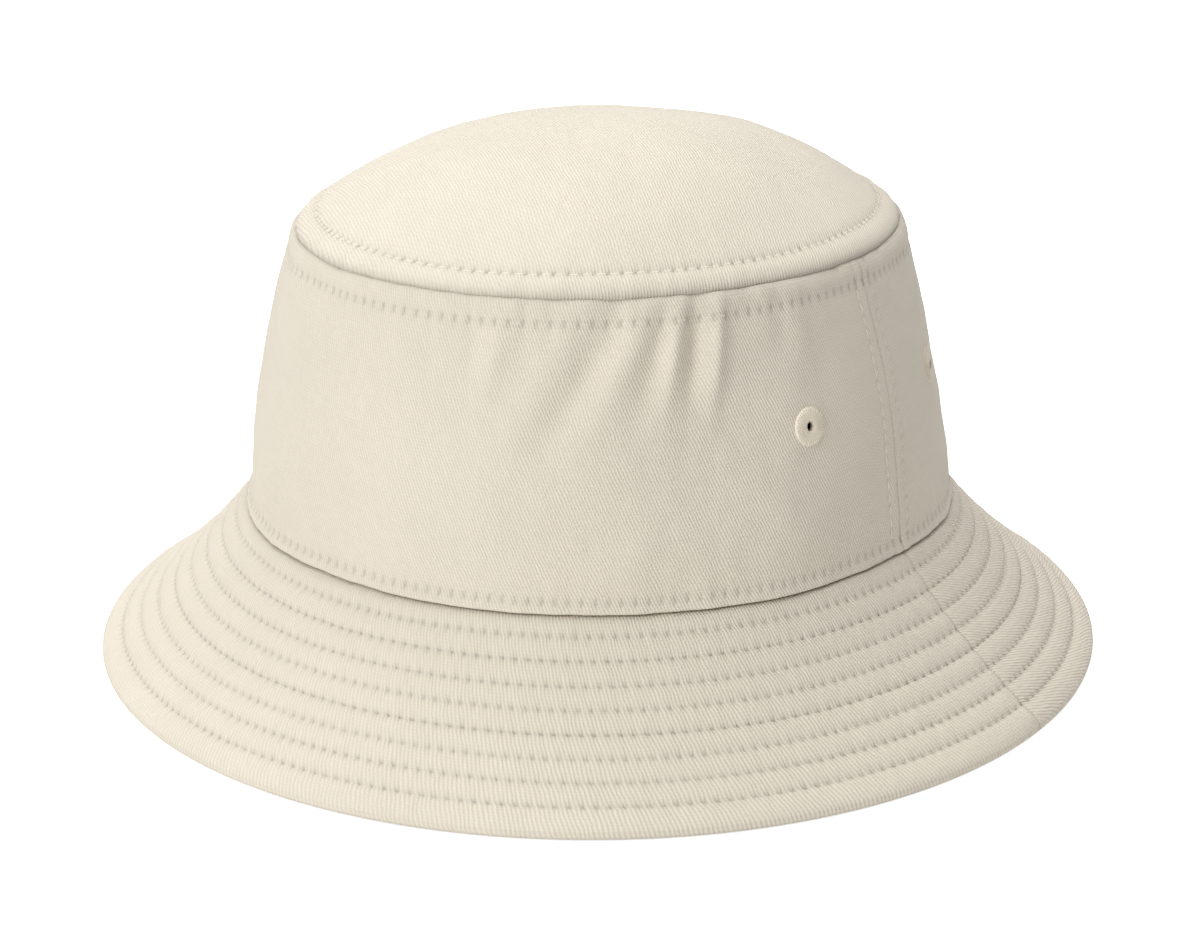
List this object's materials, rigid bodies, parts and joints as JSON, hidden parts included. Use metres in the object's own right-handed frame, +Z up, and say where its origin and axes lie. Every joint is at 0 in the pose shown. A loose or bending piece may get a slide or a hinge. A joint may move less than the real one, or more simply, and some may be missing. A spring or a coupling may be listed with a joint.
{
  "type": "bucket hat",
  "caption": "Bucket hat with an oval domed tip, leaning crown wall, row-quilted sloping brim, sewn ventilation eyelets, sweatband and seam tapes.",
  "frame": {"origin": "middle of the crown, on the plane of the brim's edge", "axes": "front of the hat faces -Y, wearer's left is +X, +Z up through the tip; the side seams lie on the X axis"},
  "size_m": [0.2666, 0.2736, 0.1393],
  "materials": {
    "twill": "undyed cream cotton twill, matt",
    "sweatband_twill": "the same twill, cut on the bias, matt",
    "interlining": "stiff white nonwoven, matt",
    "seam_tape": "plain-weave cotton tape, matt",
    "thread": "cream spun thread, slight lustre",
    "eyelet_thread": "cream embroidery thread, soft lustre",
    "label_ribbon": "blank white satin ribbon"
  },
  "bodies": {
    "hat": {"brim_interlining_back": "interlining", "brim_interlining_front": "interlining", "brim_stitch_row_1": "thread", "brim_stitch_row_2": "thread", "brim_stitch_row_3": "thread", "brim_stitch_row_4": "thread", "brim_stitch_row_5": "thread", "brim_stitch_row_6": "thread", "brim_stitch_row_7": "thread", "brim_stitch_row_8": "thread", "brim_under_back": "twill", "brim_under_front": "twill", "brim_upper_back": "twill", "brim_upper_front": "twill", "care_label_stitch": "thread", "crown_base_topstitch": "thread", "crown_tip": "twill", "crown_wall_back": "twill", "crown_wall_front": "twill", "eyelet_left_back": "eyelet_thread", "eyelet_left_front": "eyelet_thread", "eyelet_right_back": "eyelet_thread", "eyelet_right_front": "eyelet_thread", "side_seam_tape_left": "seam_tape", "side_seam_tape_right": "seam_tape", "side_topstitch_left": "thread", "side_topstitch_right": "thread", "size_label": "label_ribbon", "size_label_stitch": "thread", "sweatband": "sweatband_twill", "sweatband_hem_stitch": "thread", "tip_seam_tape": "seam_tape", "tip_topstitch": "thread", "wall_top_topstitch": "thread"},
    "care_label": {"care_label": "label_ribbon"}
  },
  "joints": [
    {"name": "care_label_swing", "type": "hinge", "parent": "hat", "child": "care_label", "pos_m": [0, 0.08274, 0.10332], "axis": [-1, 0, 0], "range_deg": [0, 100]}
  ]
}
